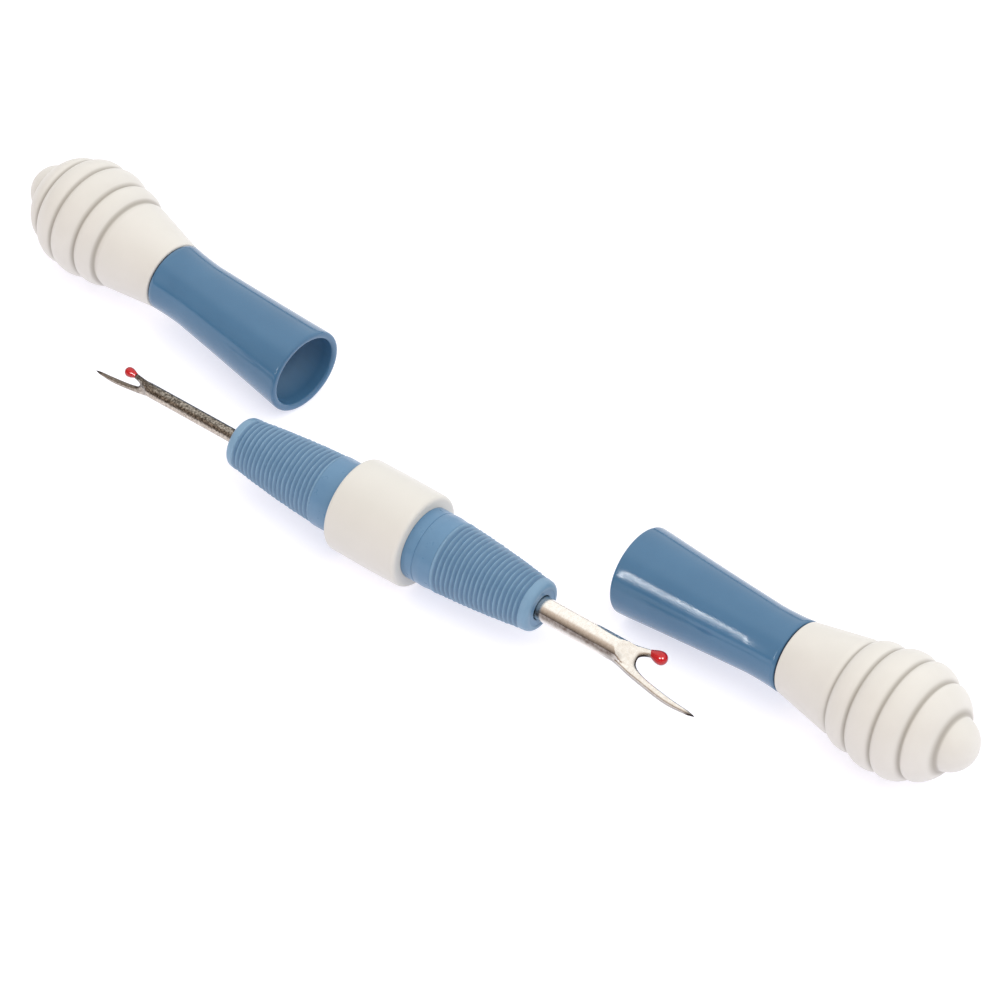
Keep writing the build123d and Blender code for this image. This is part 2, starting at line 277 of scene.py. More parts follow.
def arc_through(start, middle, end, steps):
    """Points from start to end on a parabola whose middle point is given, without the start."""
    points = []
    for k in range(1, steps + 1):
        t = k / steps
        weights = ((1 - t) * (1 - 2 * t), 4 * t * (1 - t), t * (2 * t - 1))
        points.append(tuple(sum(w * p[i] for w, p in zip(weights, (start, middle, end))) for i in (0, 1)))
    return points


def rib_press():
    """The node tree that presses ribs into a turned sleeve, round X: thin crests and wide hollows."""
    tree = bpy.data.node_groups.new("rib_press", "GeometryNodeTree")
    inputs = {"Sleeve": "Geometry", "First Rib": "Float", "Last Rib": "Float", "Rib Count": "Float",
              "Rib Depth": "Float", "Wander": "Float", "Wander Size": "Float", "Seed": "Float",
              "Material": "Material"}
    for label, kind in inputs.items():
        tree.interface.new_socket(label, in_out="INPUT", socket_type="NodeSocket" + kind)
    tree.interface.new_socket("Ribbed Sleeve", in_out="OUTPUT", socket_type="NodeSocketGeometry")
    given = add(tree, "NodeGroupInput").outputs
    place = add(tree, "GeometryNodeInputPosition")
    along = add(tree, "ShaderNodeSeparateXYZ", {0: place})
    fineness = add(tree, "ShaderNodeMath", {0: 1.0, 1: given["Wander Size"]}, operation="DIVIDE")
    noise = add(tree, "ShaderNodeTexNoise", {"Vector": place, "W": given["Seed"], "Scale": fineness,
                                             "Detail": 2.0}, noise_dimensions="4D")
    shift = add(tree, "ShaderNodeMath", {0: noise, 1: 0.5}, operation="SUBTRACT")
    moved = add(tree, "ShaderNodeMath", {0: shift, 1: given["Wander"], 2: along}, operation="MULTIPLY_ADD")
    ribs = add(tree, "ShaderNodeMapRange", {"Value": moved, "From Min": given["First Rib"],
                                            "From Max": given["Last Rib"], "To Max": given["Rib Count"]})
    turn = add(tree, "ShaderNodeMath", {0: ribs, 1: math.pi}, operation="MULTIPLY")
    swing = add(tree, "ShaderNodeMath", {0: turn}, operation="SINE")
    wave = add(tree, "ShaderNodeMath", {0: swing}, operation="ABSOLUTE")
    hollow_painted_shading = add(tree, "ShaderNodeMath", {0: wave, 1: 0.7}, operation="POWER")
    inward = add(tree, "ShaderNodeVectorMath", {0: place, 1: (0, -1, -1)}, operation="MULTIPLY")
    unit = add(tree, "ShaderNodeVectorMath", {0: inward}, operation="NORMALIZE")
    depth = add(tree, "ShaderNodeMath", {0: hollow_painted_shading, 1: given["Rib Depth"]}, operation="MULTIPLY")
    offset = add(tree, "ShaderNodeVectorMath", {0: unit, "Scale": depth}, operation="SCALE")
    begun = add(tree, "ShaderNodeMath", {0: ribs, 1: 0.0}, operation="GREATER_THAN")
    unfinished = add(tree, "ShaderNodeMath", {0: ribs, 1: given["Rib Count"]}, operation="LESS_THAN")
    ribbed = add(tree, "ShaderNodeMath", {0: begun, 1: unfinished}, operation="MULTIPLY")
    # the rib profile also sets how much painted shade each valley gets
    marked = add(tree, "GeometryNodeStoreNamedAttribute", {
        "Geometry": given["Sleeve"], "Selection": ribbed, "Name": "hollow_painted_shading", "Value": hollow_painted_shading,
    }, data_type="FLOAT", domain="POINT")
    pressed = add(tree, "GeometryNodeSetPosition", {"Geometry": marked, "Offset": offset})
    real = add(tree, "GeometryNodeRealizeInstances", {"Geometry": pressed})
    coated = add(tree, "GeometryNodeSetMaterial", {"Geometry": real, "Material": given["Material"]})
    add(tree, "NodeGroupOutput", {"Ribbed Sleeve": coated})
    return tree


def press_ribs(sleeve, tree, sizes, matrix):
    """Gives a sleeve its ribs as a plain mesh, in its place on the handle."""
    press = sleeve.modifiers.new("ribs", "NODES")
    press.node_group = tree
    for item in tree.interface.items_tree:
        if item.name in sizes:
            press[item.identifier] = sizes[item.name]
    data = bpy.data.meshes.new_from_object(sleeve.evaluated_get(bpy.context.evaluated_depsgraph_get()))
    sleeve.modifiers.remove(press)
    data.name = sleeve.name
    data.transform(matrix)
    data.set_sharp_from_angle(angle=math.radians(60))
    sleeve.data = data


# the hollow colour is painted shade in the rib valleys
soft_blue = moulded_plastic("tpe_satin_moulded_blue", "#7c9eb9", "#89abc5", 0.34, cloud_mm=5.0, peel_mm=0.22,
                            peel_height=0.006, hollow_painted_shading="#4b6e8f")
reflecting = bpy.data.collections.new("pieces_that_catch_the_strip_light")
ribs = rib_press()
for end, matrix in ENDS.items():
    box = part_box(f"grip_{end}")
    start = min(abs(box[0].x), abs(box[1].x)) / MM
    shoulder = NOSE_X - NOSE_ROUND
    outline = [(start, STEM_R), (start, SLEEVE_R[0] - FINE), (start + FINE, SLEEVE_R[0])]
    outline += arc_through(outline[-1], ((start + shoulder) / 2, SLEEVE_R[1]), (shoulder, SLEEVE_R[2]), 300)
    outline += [(shoulder + NOSE_ROUND * math.sin(a), SLEEVE_R[2] - NOSE_ROUND * (1 - math.cos(a)))
                for a in np.linspace(0, math.pi / 2, 14)[1:]]
    outline.append((NOSE_X, STEM_R))
    # the plain stretches take part of the painted valley shade
    grip = turned(f"ribbed_grip_{end}", outline, Matrix.Identity(4), soft_blue, around=144,
                  hollow_painted_shading=[PLAIN_SHADE] * len(outline))
    press_ribs(grip, ribs, {
        "First Rib": (start + BEFORE_RIBS) * MM, "Last Rib": (NOSE_X - AFTER_RIBS) * MM, "Rib Count": RIBS,
        "Rib Depth": RIB_DEPTH * MM, "Wander": WANDER * MM, "Wander Size": WANDER_MM * MM,
        "Seed": 3.0 if end == "large" else 8.0, "Material": soft_blue,
    }, matrix)
    reflecting.objects.link(grip)
    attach(grip, "handle")
    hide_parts(f"grip_{end}")


# ---------------------------------------------------------------- forks
# The two steel blades. Each is round wire, ground away on both sides at the end, split into a long
# point and a short blunt prong, sharpened in the gullet, tumbled so that its edges are soft, then nickel
# plated: bright, with fine draw lines along the shank and matt on the flats. Painted shade and dark
# reflections darken its edges, gullet and point; a painted reflection lies along the shank as a dark band.

TANG_LENGTH = 17.0
# length and width scale, shank radius, plate thickness, turn about the handle's axis
FORKS = {
    "large": (1.0, 1.0, 2.17, 1.3, math.radians(12)),
    "small": (0.72, 0.68, 1.27, 0.9, math.radians(90)),
}
# the painted reflection on a shank, a dark band where it mirrors the room's darker parts: its middle,
# from the top towards the front, its half width and its fade, and how far back from the tip it ends
PAINTED_REFLECTION_BANDS = {
    "large": (math.radians(72), math.radians(6), math.radians(26), 16.4),
    "small": (math.radians(14), math.radians(48), math.radians(16), 8.0),
}


def smooth_path(points, step):
    """Points along a Catmull-Rom curve through the given points, about step apart."""
    points = [Vector(p) for p in points]
    ends = [2 * points[0] - points[1]] + points + [2 * points[-1] - points[-2]]
    path = []
    for a, b, c, d in zip(ends, ends[1:], ends[2:], ends[3:]):
        count = max(2, int((c - b).length / step))
        for k in range(count):
            t = k / count
            path.append(0.5 * (2 * b + (c - a) * t + (2 * a - 5 * b + 4 * c - d) * t * t
                               + (3 * b - a - 3 * c + d) * t ** 3))
    return path + [points[-1]]


def distance_to(points, loop):
    """Shortest distance from each point to a closed loop, and whether the point is inside it."""
    best = np.full(len(points), 1e9)
    inside = np.zeros(len(points), bool)
    for start, end in zip(loop, np.roll(loop, -1, axis=0)):
        edge = end - start
        t = np.clip(((points - start) @ edge) / max(edge @ edge, 1e-12), 0, 1)
        best = np.minimum(best, np.hypot(*(points - start - t[:, None] * edge).T))
        crosses = (start[1] > points[:, 1]) != (end[1] > points[:, 1])
        reach = start[0] + (points[:, 1] - start[1]) * edge[0] / (edge[1] if edge[1] else 1e-12)
        inside ^= crosses & (points[:, 0] < reach)
    return best, inside


def fork(name, tip_x, length, size, shank_r, plate, band, matrix, material):
    """The blade as a relief over its plan outline, the same above and below, in its own XY plane."""
    step = 0.22 * size

    def at(back, across):
        return (tip_x - back * length, across * size)

    tang_x = NOSE_X - RECESS - TANG_LENGTH
    root = tip_x - 21.4 * length
    shank_end = tip_x - 14.9 * length
    upper = smooth_path([(root, shank_r), at(16.8, 2.3), at(13.9, 2.87), at(11.4, 3.05)], step)
    gullet = smooth_path([at(11.4, 2.1), at(13.4, 1.65), at(14.5, 0.95), at(14.7, 0.2), at(14.1, -1.0),
                          at(12.6, -1.85), at(10.3, -2.48), at(5.5, -3.2), at(1.6, -3.52)], step * 0.6)
    point = smooth_path([at(1.6, -3.52), at(0.5, -3.72), at(0, -3.9)], step * 0.4)
    lower = smooth_path([at(0, -3.9), at(0.7, -4.1), at(2.1, -4.32), at(6.4, -4.42), at(13.4, -3.32),
                         at(16.6, -2.6), (root + 2.6 * length, -1.01 * shank_r), (root, -shank_r)], step)
    angles = np.linspace(-math.pi / 2, math.pi / 2, 29)
    column = [(root, shank_r * math.sin(angle)) for angle in angles[1:-1]]
    loop = np.array([tuple(p) for p in upper + gullet + point[1:] + lower[1:]] + column)

    # rows of points that follow the edge inwards, and a plain grid inside them
    ahead = np.roll(loop, -1, axis=0) - np.roll(loop, 1, axis=0)
    inward = np.stack([ahead[:, 1], -ahead[:, 0]], 1) / np.maximum(np.hypot(*ahead.T), 1e-9)[:, None]
    free = loop[:, 0] > root + 1e-6
    inner = []
    for offset in np.array((0.02, 0.06, 0.12, 0.2, 0.3, 0.42, 0.56)) * size:
        row = loop[free] + inward[free] * offset
        gap, within = distance_to(row, loop)
        inner.append(row[within & (gap > 0.92 * offset)])
    xs, ys = np.meshgrid(np.arange(root, tip_x, 0.2 * size), np.arange(-4.3, 3.2, 0.2) * size)
    grid = np.stack([xs.ravel(), ys.ravel()], 1)
    gap, within = distance_to(grid, loop)
    inner.append(grid[within & (gap > 0.66 * size)])
    everything = [Vector(p) for p in np.concatenate([loop] + inner)]
    flat, _, faces, _, _, _ = delaunay_2d_cdt(everything, [], [list(range(len(loop)))], 1, 1e-5)
    flat = np.array([tuple(v) for v in flat])
    gap, _ = distance_to(flat, loop)
    x, q = flat.T
    back = (tip_x - x) / length

    # the plate: thinner towards the point, rounded at its edges, ground sharp in the gullet
    taper = np.interp(back, (0, 1.2, 5, 12, 22), (0.2, 0.65, 0.92, 1.0, 1.0)) * plate / 2
    rounded = np.sqrt(1 - (1 - np.clip(gap / (0.42 * size), 0, 1)) ** 2)
    sharp = np.clip(gap / (1.0 * size), 0, 1) ** 0.85
    in_gullet = np.exp(-((back - 14.2) / 1.5) ** 2 - ((q / size + 0.1) / 1.7) ** 2)
    flank = taper * (rounded * (1 - in_gullet) + sharp * in_gullet)
    # the round shank, cut down to the plate by the grinding wheel
    wheel = 5 * size
    run = np.clip(shank_end - x, 0, wheel)
    ground = flank + wheel - np.sqrt(wheel ** 2 - run ** 2)
    round_height = np.sqrt(np.clip(shank_r ** 2 - q ** 2, 0, None))
    height = np.maximum(np.minimum(round_height, ground), flank)
    cut = np.clip((round_height - ground) / 0.1, 0, 1)
    cut[x > shank_end] = 1.0
    at_root = x < root + 1e-4
    height[at_root] = round_height[at_root]
    height[(gap < 1e-4) & ~at_root] = 0.0
    # painted shade and dark reflections at the edges, in the cutting gullet and at the point
    rim = np.exp(-(gap / (0.13 * size)) ** 2) * np.clip((x - root) / (3 * size), 0, 1)
    gullet_shade = 1.2 * in_gullet * np.exp(-(gap / (0.34 * size)) ** 2)
    painted_edge_shade = np.clip(0.55 * rim + gullet_shade + np.clip(1.1 - back / 2, 0, 1), 0, 1)

    mesh = bmesh.new()
    edge_shade_layer = mesh.verts.layers.float.new("painted_edge_shade")
    wheel_cut = mesh.verts.layers.float.new("ground")
    top, under = [], []
    for (px, py), h, w, c in zip(flat, height, painted_edge_shade, cut):
        top.append(mesh.verts.new((px, py, h)))
        under.append(top[-1] if h < 1e-4 else mesh.verts.new((px, py, -h)))
        for vertex in (top[-1], under[-1]):
            vertex[edge_shade_layer] = w
            vertex[wheel_cut] = c
    for corners in faces:
        for side in (top, under):
            vertices = [side[i] for i in corners]
            if not mesh.faces.get(vertices):
                mesh.faces.new(vertices)
    around = 2 * (len(angles) - 1)
    previous = None
    for x in np.linspace(tang_x, root, 12):
        ring = [mesh.verts.new((x, shank_r * math.sin(t), shank_r * math.cos(t)))
                for t in (angles[0] + 2 * math.pi * k / around for k in range(around))]
        if previous:
            for k in range(around):
                n = (k + 1) % around
                mesh.faces.new((previous[k], previous[n], ring[n], ring[k]))
        else:
            mesh.faces.new(ring)
        previous = ring
    bmesh.ops.remove_doubles(mesh, verts=mesh.verts, dist=3e-4)
    bmesh.ops.recalc_face_normals(mesh, faces=mesh.faces)
    for face in mesh.faces:
        face.smooth = True
    # a dark band along the shank, a painted reflection of the room's darker parts
    painted_reflection = mesh.verts.layers.float.new("painted_reflection")
    mesh.transform(matrix)
    middle, half, fade, stop = band
    for vertex in mesh.verts:
        off = abs(math.remainder(math.atan2(-vertex.co.y, vertex.co.z) - middle, 2 * math.pi))
        near = min(1.0, max(0.0, (half + fade - off) / fade))
        vertex[painted_reflection] = near * min(1.0, max(0.0, (tip_x - stop * length - abs(vertex.co.x)) / 2))
    mesh.transform(Matrix.Scale(MM, 4))
    data = bpy.data.meshes.new(name)
    mesh.to_mesh(data)
    mesh.free()
    data.set_sharp_from_angle(angle=math.radians(38))
    data.materials.append(material)
    piece = bpy.data.objects.new(name, data)
    bpy.context.scene.collection.objects.link(piece)
    return piece


# the colour of the painted shade and dark reflections at a blade's edges
EDGE_SHADE_COLOUR = "#2e2723"
LINE_MM = 0.16               # spacing of the draw lines
LINE_STRETCH = 0.03          # how much slower they change along the shank


def plated_steel(name, light, stain, ground_shade, reflection_colour, roughness, pit_mm, pit_depth, patchiness):
    """Nickel plate over drawn and tumbled steel: fine lines along X, a mottle of stains, matt where ground.

    The lines and the pits are drawn coarser than the real ones, so that they show."""
    material, tree, shader, place = new_material(name, Metallic=1.0)
    mottle = add(tree, "ShaderNodeTexNoise", {"Vector": place, "Scale": 1 / (pit_mm * MM), "Detail": 8.0,
                                              "Roughness": 0.7})
    spots = add(tree, "ShaderNodeMapRange", {"Value": mottle, "From Min": 0.4, "From Max": 0.65})
    colour = add(tree, "ShaderNodeMix", {"Factor": spots, 6: linear(light), 7: linear(stain)},
                 data_type="RGBA").outputs[2]
    ground = add(tree, "ShaderNodeAttribute", attribute_name="ground").outputs["Fac"]
    grit = add(tree, "ShaderNodeMath", {0: spots, 1: 0.45, 2: 0.35}, operation="MULTIPLY_ADD")
    frosted = add(tree, "ShaderNodeMath", {0: ground, 1: grit}, operation="MULTIPLY")
    colour = add(tree, "ShaderNodeMix", {"Factor": frosted, 6: colour, 7: linear(ground_shade)},
                 data_type="RGBA").outputs[2]
    # painted reflection: the dark band along the shank, patchy with the mottle
    painted_reflection = add(tree, "ShaderNodeAttribute", attribute_name="painted_reflection").outputs["Fac"]
    streaks = add(tree, "ShaderNodeMath", {0: spots, 1: patchiness, 2: 1 - patchiness},
                  operation="MULTIPLY_ADD")
    reflection_weight = add(tree, "ShaderNodeMath", {0: painted_reflection, 1: streaks}, operation="MULTIPLY")
    colour = add(tree, "ShaderNodeMix", {"Factor": reflection_weight, 6: colour, 7: linear(reflection_colour)},
                 data_type="RGBA").outputs[2]
    # painted shade and dark reflections at the edges, the gullet and the point
    painted_edge_shade = add(tree, "ShaderNodeAttribute", attribute_name="painted_edge_shade").outputs["Fac"]
    colour = add(tree, "ShaderNodeMix", {"Factor": painted_edge_shade, 6: colour, 7: linear(EDGE_SHADE_COLOUR)},
                 data_type="RGBA").outputs[2]
    tree.links.new(colour, shader.inputs["Base Color"])
    stretched = add(tree, "ShaderNodeMapping", {"Vector": place, "Scale": (LINE_STRETCH, 1.0, 1.0)})
    lines = add(tree, "ShaderNodeTexNoise", {"Vector": stretched, "Scale": 1 / (LINE_MM * MM), "Detail": 3.0})
    drawn = add(tree, "ShaderNodeMapRange", {"Value": lines, "From Min": 0.3, "From Max": 0.7,
                                             "To Min": roughness - 0.06, "To Max": roughness + 0.09})
    rough = add(tree, "ShaderNodeMath", {0: ground, 1: 0.08, 2: drawn}, operation="MULTIPLY_ADD")
    tree.links.new(rough.outputs[0], shader.inputs["Roughness"])
    fine = add(tree, "ShaderNodeBump", {"Height": lines, "Distance": 0.004 * MM})
    dents = add(tree, "ShaderNodeBump", {"Height": mottle, "Distance": pit_depth * MM, "Normal": fine})
    tree.links.new(dents.outputs["Normal"], shader.inputs["Normal"])
    return material


# light, stain, ground and painted reflection colours, then roughness and pits
steels = {
    "large": plated_steel("nickel_plated_steel_tumbled", "#f3f0eb", "#e8e1d9", "#ded6cd", "#5a4c43",
                          roughness=0.16, pit_mm=0.6, pit_depth=0.006, patchiness=0.25),
    "small": plated_steel("nickel_plated_steel_stained", "#d2c9be", "#857a6e", "#6f655c", "#2f2a24",
                          roughness=0.22, pit_mm=0.34, pit_depth=0.03, patchiness=0.65),
}
for end, (length, size, shank_r, plate, turn) in FORKS.items():
    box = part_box(f"blade_{end}")
    tip_x = max(abs(box[0].x), abs(box[1].x)) / MM
    matrix = ENDS[end] @ Matrix.Rotation(turn, 4, "X")
    blade = fork(f"fork_{end}", tip_x, length, size, shank_r, plate, PAINTED_REFLECTION_BANDS[end], matrix, steels[end])
    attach(blade, "handle")
    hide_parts(f"blade_{end}")


# ---------------------------------------------------------------- beads
# The red bead that guards each blunt prong. A drop of acrylic enamel dipped and baked on the prong:
# a round end and a short tail back along the prong, deep red and wet-looking.

BEADS = {"large": 1.2, "small": 0.9}     # their radii
TAIL = 1.75                  # length of the tail in radii, and its thickness where it starts
TAIL_START = 0.48
red_enamel = moulded_plastic("acrylic_enamel_dipped_red", "#7a0208", "#87040c", 0.08,
                             cloud_mm=1.6, peel_mm=0.8, peel_height=0.004)
red_enamel.node_tree.nodes["Principled BSDF"].inputs["Specular IOR Level"].default_value = 0.6
beads = bpy.data.collections.new("pieces_that_catch_the_bead_lights")
for end, radius in BEADS.items():
    low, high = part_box(f"ball_{end}")
    middle_y, middle_z = (low.y + high.y) / 2 / MM, (low.z + high.z) / 2 / MM
    front = max(abs(low.x), abs(high.x)) / MM - radius
    tail = TAIL * radius
    outline = [(-tail, 0)]
    for k in range(13):      # the tail swells smoothly from the prong's thickness
        t = k / 12
        swell = TAIL_START + (1 - TAIL_START) * math.sin(t * math.pi / 2) ** 1.15
        outline.append((-tail * (1 - t), radius * swell))
    outline += [(radius * math.sin(a), radius * math.cos(a)) for a in np.linspace(0, math.pi / 2, 18)[1:-1]]
    outline.append((radius, 0))
    flip = -1 if end == "small" else 1
    at = Matrix.Translation(Vector((flip * front, middle_y, middle_z)) * MM) @ ENDS[end]
    bead = turned(f"bead_{end}", outline, at, red_enamel, around=64)
    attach(bead, "handle")
    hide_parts(f"ball_{end}")
    beads.objects.link(bead)


# ---------------------------------------------------------------- cap shells
# The glossy blue lower half of each cap, flared towards its open mouth. Polypropylene, the same as
# the cores, with a thick rounded lip; a thin dark line shows where the liner's flange meets it. Its bore
# is painted a lighter blue, as painted light showing through the wall.

MOUTH_R = 8.2
LIP = 0.75
MOUTH_BORE_R = NECK_R + 0.08
MOUTH_BORE_LENGTH = 6.5
SHELL_LENGTH = 33.8
SHELL_BORE_R = 5.25
WAIST_R = 6.38
WAIST_FROM_MOUTH = 27.0
JOINT_R = 6.65
FLARE_SAG = 0.13


def cap_frame(end):
    """A cap's own frame: its mouth's centre, with X along its axis towards the head."""
    rooms = {room["name"]: room["box_m"] for room in frame["record"]["physics"]["openings"]}
    near, far = [(Vector(rooms[f"cap_{end}_{part}"][0]) + Vector(rooms[f"cap_{end}_{part}"][1])) / 2
                 for part in ("mouth", "end")]
    along = (far - near).normalized()
    shell_points = frame["nodes"][f"cap_shell_{end}"].data.vertices
    mouth = near + along * min((v.co - near).dot(along) for v in shell_points)
    across = Vector((0, 0, 1)).cross(along).normalized()
    matrix = Matrix((along, across, along.cross(across))).transposed().to_4x4()
    matrix.translation = mouth
    return matrix


CAPS = {end: cap_frame(end) for end in ("small", "large")}
# its hollow colour is painted light: a lighter blue in the bore
glossy_blue = moulded_plastic("polypropylene_polished_mould_blue", "#3e6688", "#477092", 0.13,
                              peel_height=0.0005, hollow_painted_shading="#7699b8", turning_mm=0.3)
for end, matrix in CAPS.items():
    lip = soften([(LIP * 3, MOUTH_BORE_R, 0), (0, MOUTH_BORE_R + 0.05, LIP), (0, MOUTH_R - 0.02, LIP),
                  (LIP * 3, MOUTH_R - 0.16, 0)], steps=8)
    halfway = (WAIST_FROM_MOUTH / 2 + 1, (MOUTH_R + WAIST_R) / 2 - FLARE_SAG)
    flare = arc_through((LIP * 3, MOUTH_R - 0.16), halfway, (WAIST_FROM_MOUTH, WAIST_R), 36)
    foot = arc_through((WAIST_FROM_MOUTH, WAIST_R), (SHELL_LENGTH - 3.4, WAIST_R + 0.04),
                       (SHELL_LENGTH - 0.15, JOINT_R - 0.02), 10)
    bore = [(SHELL_LENGTH, JOINT_R - 0.17), (SHELL_LENGTH, SHELL_BORE_R), (WAIST_FROM_MOUTH, SHELL_BORE_R),
            (MOUTH_BORE_LENGTH, MOUTH_BORE_R)]
    outline = lip + flare + foot + bore
    # the bore's rings take the painted light
    inside = [0.0] * (len(outline) - 3) + [1.0, 1.0, 1.0]
    shell = turned(f"cap_shell_body_{end}", outline, matrix, glossy_blue, around=192, hollow_painted_shading=inside)
    reflecting.objects.link(shell)
    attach(shell, f"cap_{end}")
    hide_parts(f"cap_shell_{end}")


# ---------------------------------------------------------------- cap liners
# The hard cup inside each head that the fork goes into. Nylon, dark blue, as moulded: a spigot glued
# into the shell, a thin flange that shows as the dark line at the joint, and a closed end.

LINER_R = 5.7
LINER_WALL = 0.8
LINER_DEPTH = 30.0
LINER_END_ROUND = 0.7 * LINER_R
JOINT_GAP = 0.35
FLANGE_R = 6.25
SPIGOT_LENGTH = 6.0

dark_nylon = moulded_plastic("nylon_as_moulded_navy", "#16263a", "#1c2e45", 0.5, cloud_mm=4.0, peel_mm=0.4)
for end, matrix in CAPS.items():
    joint, closed = SHELL_LENGTH, SHELL_LENGTH + LINER_DEPTH
    inner, wide = SHELL_BORE_R - LINER_WALL, LINER_R - LINER_WALL
    corners = [
        (joint - SPIGOT_LENGTH, inner, 0.2), (joint - SPIGOT_LENGTH, SHELL_BORE_R, 0.2),
        (joint, SHELL_BORE_R, 0), (joint, FLANGE_R, 0),
        (joint + JOINT_GAP, FLANGE_R, 0), (joint + JOINT_GAP, LINER_R, 0),
        (closed, LINER_R, LINER_END_ROUND), (closed, 0, 0),
    ]
    hollow_side = [(closed - LINER_WALL, 0, 0), (closed - LINER_WALL, wide, LINER_END_ROUND * 0.8),
                   (joint + JOINT_GAP, wide, 0), (joint, inner, 0)]
    outer = soften(corners)
    inside = soften(hollow_side)
    liner = turned(f"cap_liner_cup_{end}", outer + inside, matrix, dark_nylon, around=128)
    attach(liner, f"cap_{end}")
    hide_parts(f"cap_liner_{end}")


# ---------------------------------------------------------------- cap heads
# The pale ringed heads that pick up loose threads. Soft, slightly see-through thermoplastic elastomer
# moulded over the liner: satin, warm white, with painted shade in the grooves and a fine grain
# that grips lint.

HEAD_LENGTH = 36.0
GROOVE_ROUND = 0.35
CONE_LENGTH = 12.0
CONE_EDGE = 0.55             # how far the cone's rim stands out over the first groove
RING_ENDS = (16.5, 22.0, 27.0, 31.6)
RING_CRESTS = (9.88, 10.74, 10.42, 8.17)
GROOVES = (8.45, 9.1, 9.65, 8.25, 5.0)
GROOVE_SHADE_REACH = 0.55           # the painted shade in a groove reaches this far to each side


def plain_head_radius(along):
    """Radius of the head at a distance from its foot, with sharp grooves."""
    if along < CONE_LENGTH:
        t = along / CONE_LENGTH
        return JOINT_R + (GROOVES[0] + CONE_EDGE - JOINT_R) * t - CONE_EDGE * max(0, t - 0.9) / 0.1
    starts = (CONE_LENGTH,) + RING_ENDS
    for i, crest in enumerate(RING_CRESTS):
        if along < starts[i + 1]:
            t = (along - starts[i]) / (starts[i + 1] - starts[i])
            swell = (1 - abs(2 * t - 1) ** 2.3) ** 0.62
            foot = GROOVES[i] * (1 - t) + GROOVES[i + 1] * t
            return foot + (crest - (GROOVES[i] + GROOVES[i + 1]) / 2) * swell
    dome = HEAD_LENGTH - RING_ENDS[-1]
    crown_r = (GROOVES[-1] ** 2 + dome ** 2) / (2 * dome)
    return math.sqrt(max(0.0, crown_r ** 2 - (along - HEAD_LENGTH + crown_r) ** 2))


def head_radius(along):
    """The same with every groove rounded, as the soft moulding has it."""
    reach = min(GROOVE_ROUND, along / 2, (HEAD_LENGTH - along) / 2)
    spots = np.linspace(-1, 1, 13)
    weights = 1 - spots ** 2
    return sum(w * plain_head_radius(along + s * reach) for s, w in zip(spots, weights)) / sum(weights)


def groove_shade(along):
    """How much painted shade a place on the head gets from the nearest groove, from 0 to 1."""
    return max([0.0] + [1 - abs(along - groove) / GROOVE_SHADE_REACH for groove in (CONE_LENGTH,) + RING_ENDS])


# its hollow colour is the painted shade in the grooves
ivory_tpe = moulded_plastic("tpe_satin_moulded_ivory", "#d1cfca", "#dad8d4", 0.42, cloud_mm=6.0, peel_mm=0.3,
                            peel_height=0.008, hollow_painted_shading="#9d9890")
for end, matrix in CAPS.items():
    base = SHELL_LENGTH + JOINT_GAP
    closed = SHELL_LENGTH + LINER_DEPTH
    outline = [(base, LINER_R), (base, JOINT_R - FINE)] + [
        (base + FINE + along, head_radius(along + FINE)) for along in np.arange(0, HEAD_LENGTH - 0.3, 0.2)]
    outline += [(base + along, head_radius(along))
                for along in HEAD_LENGTH - np.array((0.2, 0.1, 0.04, 0.01))]
    outline.append((base + HEAD_LENGTH, 0))
    # painted shade: darkest in each groove
    depth = [groove_shade(along - base) for along, _ in outline]
    cup = soften([(closed, 0, 0), (closed, LINER_R, LINER_END_ROUND), (base, LINER_R, 0)])
    outline += cup[:-1]
    depth += [0.0] * (len(cup) - 1)
    head = turned(f"cap_head_rings_{end}", outline, matrix, ivory_tpe, around=176, hollow_painted_shading=depth)
    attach(head, f"cap_{end}")
    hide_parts(f"cap_head_{end}")


# ---------------------------------------------------------------- stage, light and camera
# A white table that fades into its background, a strip softbox at the left front for the glossy pieces,
# broad ones above and in front, two small lamps for the beads, and a long lens that looks down at the tool.

TABLE_HALF = 6.0             # wide enough that its edge lies out of sight from low down
TABLE_GLOW = 0.62            # keeps it an even white, with soft shadows

floor_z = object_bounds()[0][2]
table_mesh = bpy.data.meshes.new("table_top")
table_corners = [(x * TABLE_HALF, y * TABLE_HALF, floor_z) for x, y in ((-1, -1), (1, -1), (1, 1), (-1, 1))]
table_mesh.from_pydata(table_corners, [], [(0, 1, 2, 3)])
table_material, table_tree, table_shader, _ = new_material("paper_matt_white", Roughness=0.9)
table_shader.inputs["Base Color"].default_value = linear("#c4c4c7")
table_shader.inputs["Emission Color"].default_value = linear("#f7f6ff")
table_shader.inputs["Emission Strength"].default_value = TABLE_GLOW
table_mesh.materials.append(table_material)
table = bpy.data.objects.new("table_top", table_mesh)
bpy.context.scene.collection.objects.link(table)

# the room as the steel mirrors it: bright behind and overhead, warm grey in front, dark at eye level
world = bpy.data.worlds.new("studio")
bpy.context.scene.world = world
world.use_nodes = True
sky = world.node_tree
outlook = add(sky, "ShaderNodeTexCoord").outputs["Generated"]
toward = add(sky, "ShaderNodeSeparateXYZ", {0: outlook}).outputs
behind = add(sky, "ShaderNodeMath", {0: toward["Y"], 1: 0.8}, operation="MULTIPLY")
facing = add(sky, "ShaderNodeMath", {0: toward["Z"], 1: 0.6, 2: behind}, operation="MULTIPLY_ADD")
bright = add(sky, "ShaderNodeMapRange", {"Value": facing, "From Min": 0.0, "From Max": 0.43},
             interpolation_type="SMOOTHSTEP")
front = add(sky, "ShaderNodeMix", {"Factor": toward["Z"], 6: linear("#988a7f"), 7: linear("#d5c7ba")},
            data_type="RGBA").outputs[2]
room = add(sky, "ShaderNodeMix", {"Factor": bright, 6: front, 7: linear("#fffefb")},
           data_type="RGBA").outputs[2]
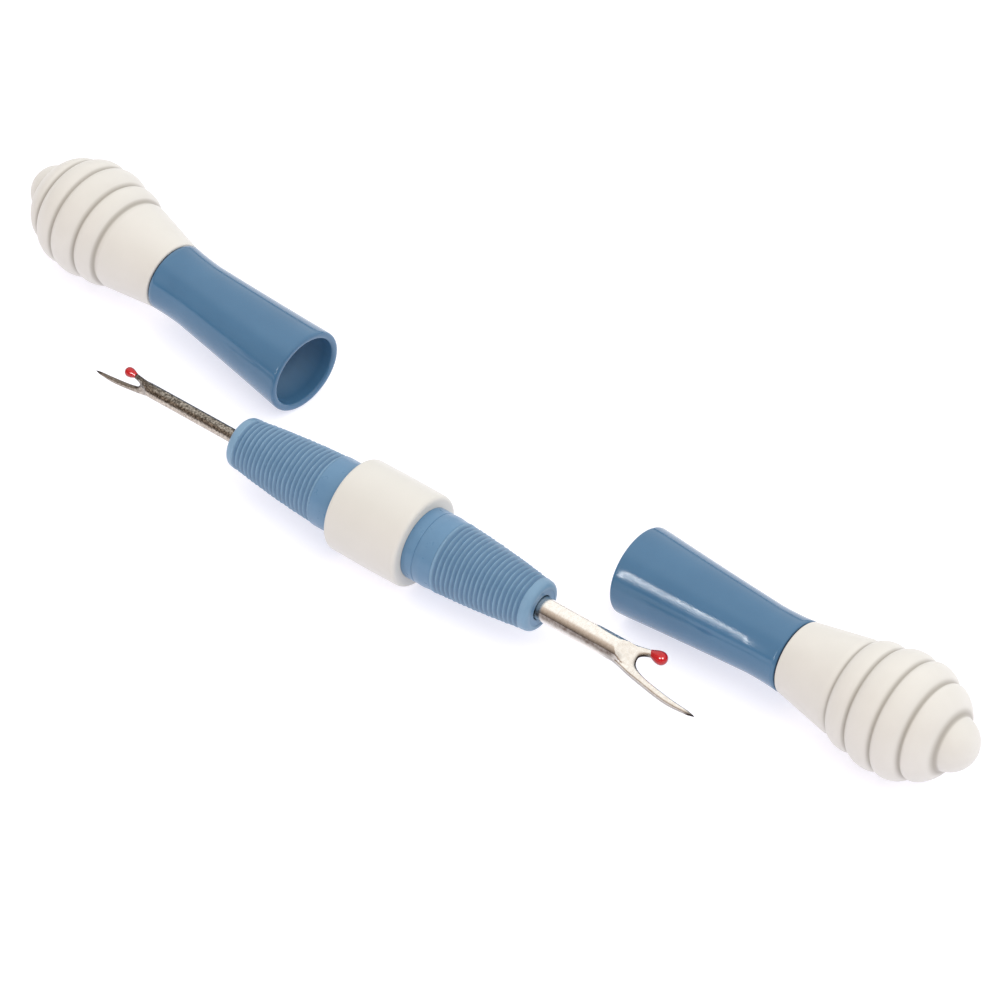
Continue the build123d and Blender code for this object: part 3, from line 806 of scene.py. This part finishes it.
above = add(sky, "ShaderNodeMapRange", {"Value": toward["Z"], "From Min": 0.03, "From Max": 0.16},
            interpolation_type="SMOOTHSTEP")
seen = add(sky, "ShaderNodeMix", {"Factor": above, 6: linear("#413833"), 7: room},
           data_type="RGBA").outputs[2]
sky.links.new(seen, sky.nodes["Background"].inputs["Color"])
sky.nodes["Background"].inputs["Strength"].default_value = 1.2


def softbox(name, direction, distance, width, height, power):
    """A soft area light in the given direction from the tool's middle, facing it."""
    lamp = bpy.data.lights.new(name, "AREA")
    lamp.shape = "ELLIPSE"
    lamp.size, lamp.size_y, lamp.energy = width, height, power
    holder = bpy.data.objects.new(name, lamp)
    holder.location = Vector(direction).normalized() * distance
    holder.rotation_euler = Vector(direction).to_track_quat("Z", "Y").to_euler()
    bpy.context.scene.collection.objects.link(holder)
    return holder


strip = softbox("strip_softbox", (-0.395, -0.856, 0.36), 1.1, 0.03, 0.42, 1.5)
strip.light_linking.receiver_collection = reflecting
softbox("key_softbox", (0.7, -0.3, 1.1), 1.2, 1.0, 1.0, 5.0).visible_glossy = False
softbox("front_fill_softbox", (-0.5, -0.9, 0.45), 1.3, 1.0, 0.8, 2.5).visible_glossy = False
for side, direction in {"left": (0.20, -0.75, 0.70), "right": (0.83, -0.26, 0.70)}.items():
    lamp = softbox(f"bead_light_{side}", direction, 0.9, 0.4, 0.4, 8.0)
    lamp.light_linking.receiver_collection = beads

# the camera: where it stands round the tool, how high, how far, and what it looks at
CAMERA_AZIMUTH = math.radians(37.89)
CAMERA_ELEVATION = math.radians(44.48)
CAMERA_DISTANCE = 0.7691
FOCAL_LENGTH = 162.0
AIM_RIGHT = 0.01895          # the picture's middle lies this far right of, and above, the origin
AIM_UP = 0.0039
lens = bpy.data.cameras.new("camera")
lens.sensor_width = 36.0
lens.lens = FOCAL_LENGTH
look = Vector((-math.sin(CAMERA_AZIMUTH) * math.cos(CAMERA_ELEVATION),
               math.cos(CAMERA_AZIMUTH) * math.cos(CAMERA_ELEVATION), -math.sin(CAMERA_ELEVATION)))
right = Vector((math.cos(CAMERA_AZIMUTH), math.sin(CAMERA_AZIMUTH), 0))
up = right.cross(look)
camera = bpy.data.objects.new("camera", lens)
camera.matrix_world = Matrix((right, up, -look)).transposed().to_4x4()
camera.location = look * -CAMERA_DISTANCE + right * AIM_RIGHT + up * AIM_UP
bpy.context.scene.collection.objects.link(camera)
bpy.context.scene.camera = camera
bpy.context.scene.view_settings.view_transform = "Standard"
